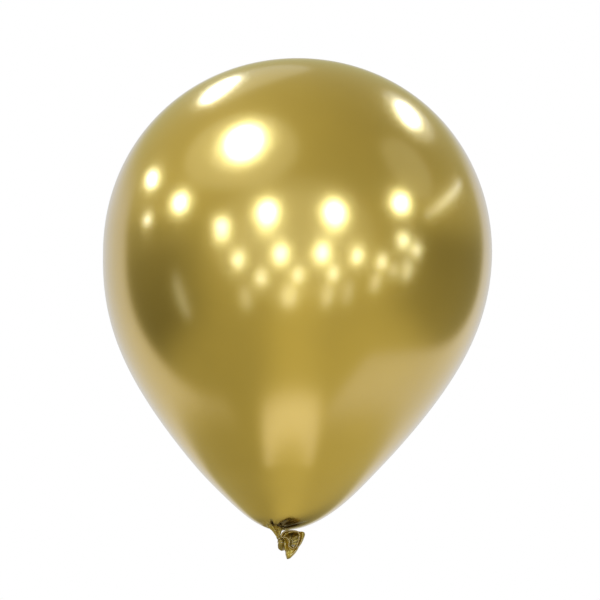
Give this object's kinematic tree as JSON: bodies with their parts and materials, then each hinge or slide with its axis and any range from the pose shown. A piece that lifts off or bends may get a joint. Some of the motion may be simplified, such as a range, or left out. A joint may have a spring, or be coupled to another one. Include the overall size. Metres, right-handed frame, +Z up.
{
  "type": "latex balloon",
  "caption": "Inflated teardrop latex party balloon in chrome gold, closed with an overhand knot in its own neck, the crumpled open tail and its rolled lip hanging below.",
  "frame": {"origin": "centre of the throat, where the gathered neck leaves the inflated envelope", "axes": "+Z up along the axis of the envelope's crown; the viewer stands at -Y with +X to the right; the throat faces down, 18 degrees towards the left and the viewer"},
  "size_m": [0.28, 0.28, 0.3582],
  "materials": {
    "inflated_skin": "gloss",
    "slack_skin": "gloss",
    "lip_bead": "satin"
  },
  "bodies": {
    "envelope": {"envelope": "inflated_skin", "gathered_throat": "inflated_skin"},
    "neck": {"neck_strand": "slack_skin"},
    "knot": {"knot_wrap": "slack_skin", "knot_tuck": "slack_skin"},
    "tail": {"tail_skirt": "slack_skin", "rolled_lip": "lip_bead"}
  },
  "joints": [
    {"name": "neck_twist", "type": "hinge", "parent": "envelope", "child": "neck", "pos_m": [0, 0, 0], "axis": [0.34, -0.14, -0.93], "range_deg": [-30, 90], "stiffness_Nm_per_rad": 0.0003},
    {"name": "knot_swing", "type": "hinge", "parent": "neck", "child": "knot", "pos_m": [0.0019, -0.00078, -0.00521], "axis": [0, 1, 0], "range_deg": [-6, 45], "stiffness_Nm_per_rad": 0.0005},
    {"name": "tail_flap", "type": "hinge", "parent": "knot", "child": "tail", "pos_m": [0.00847, -0.00313, -0.01175], "axis": [0.5251, 0, 0.8511], "range_deg": [-25, 30], "stiffness_Nm_per_rad": 0.0005}
  ]
}
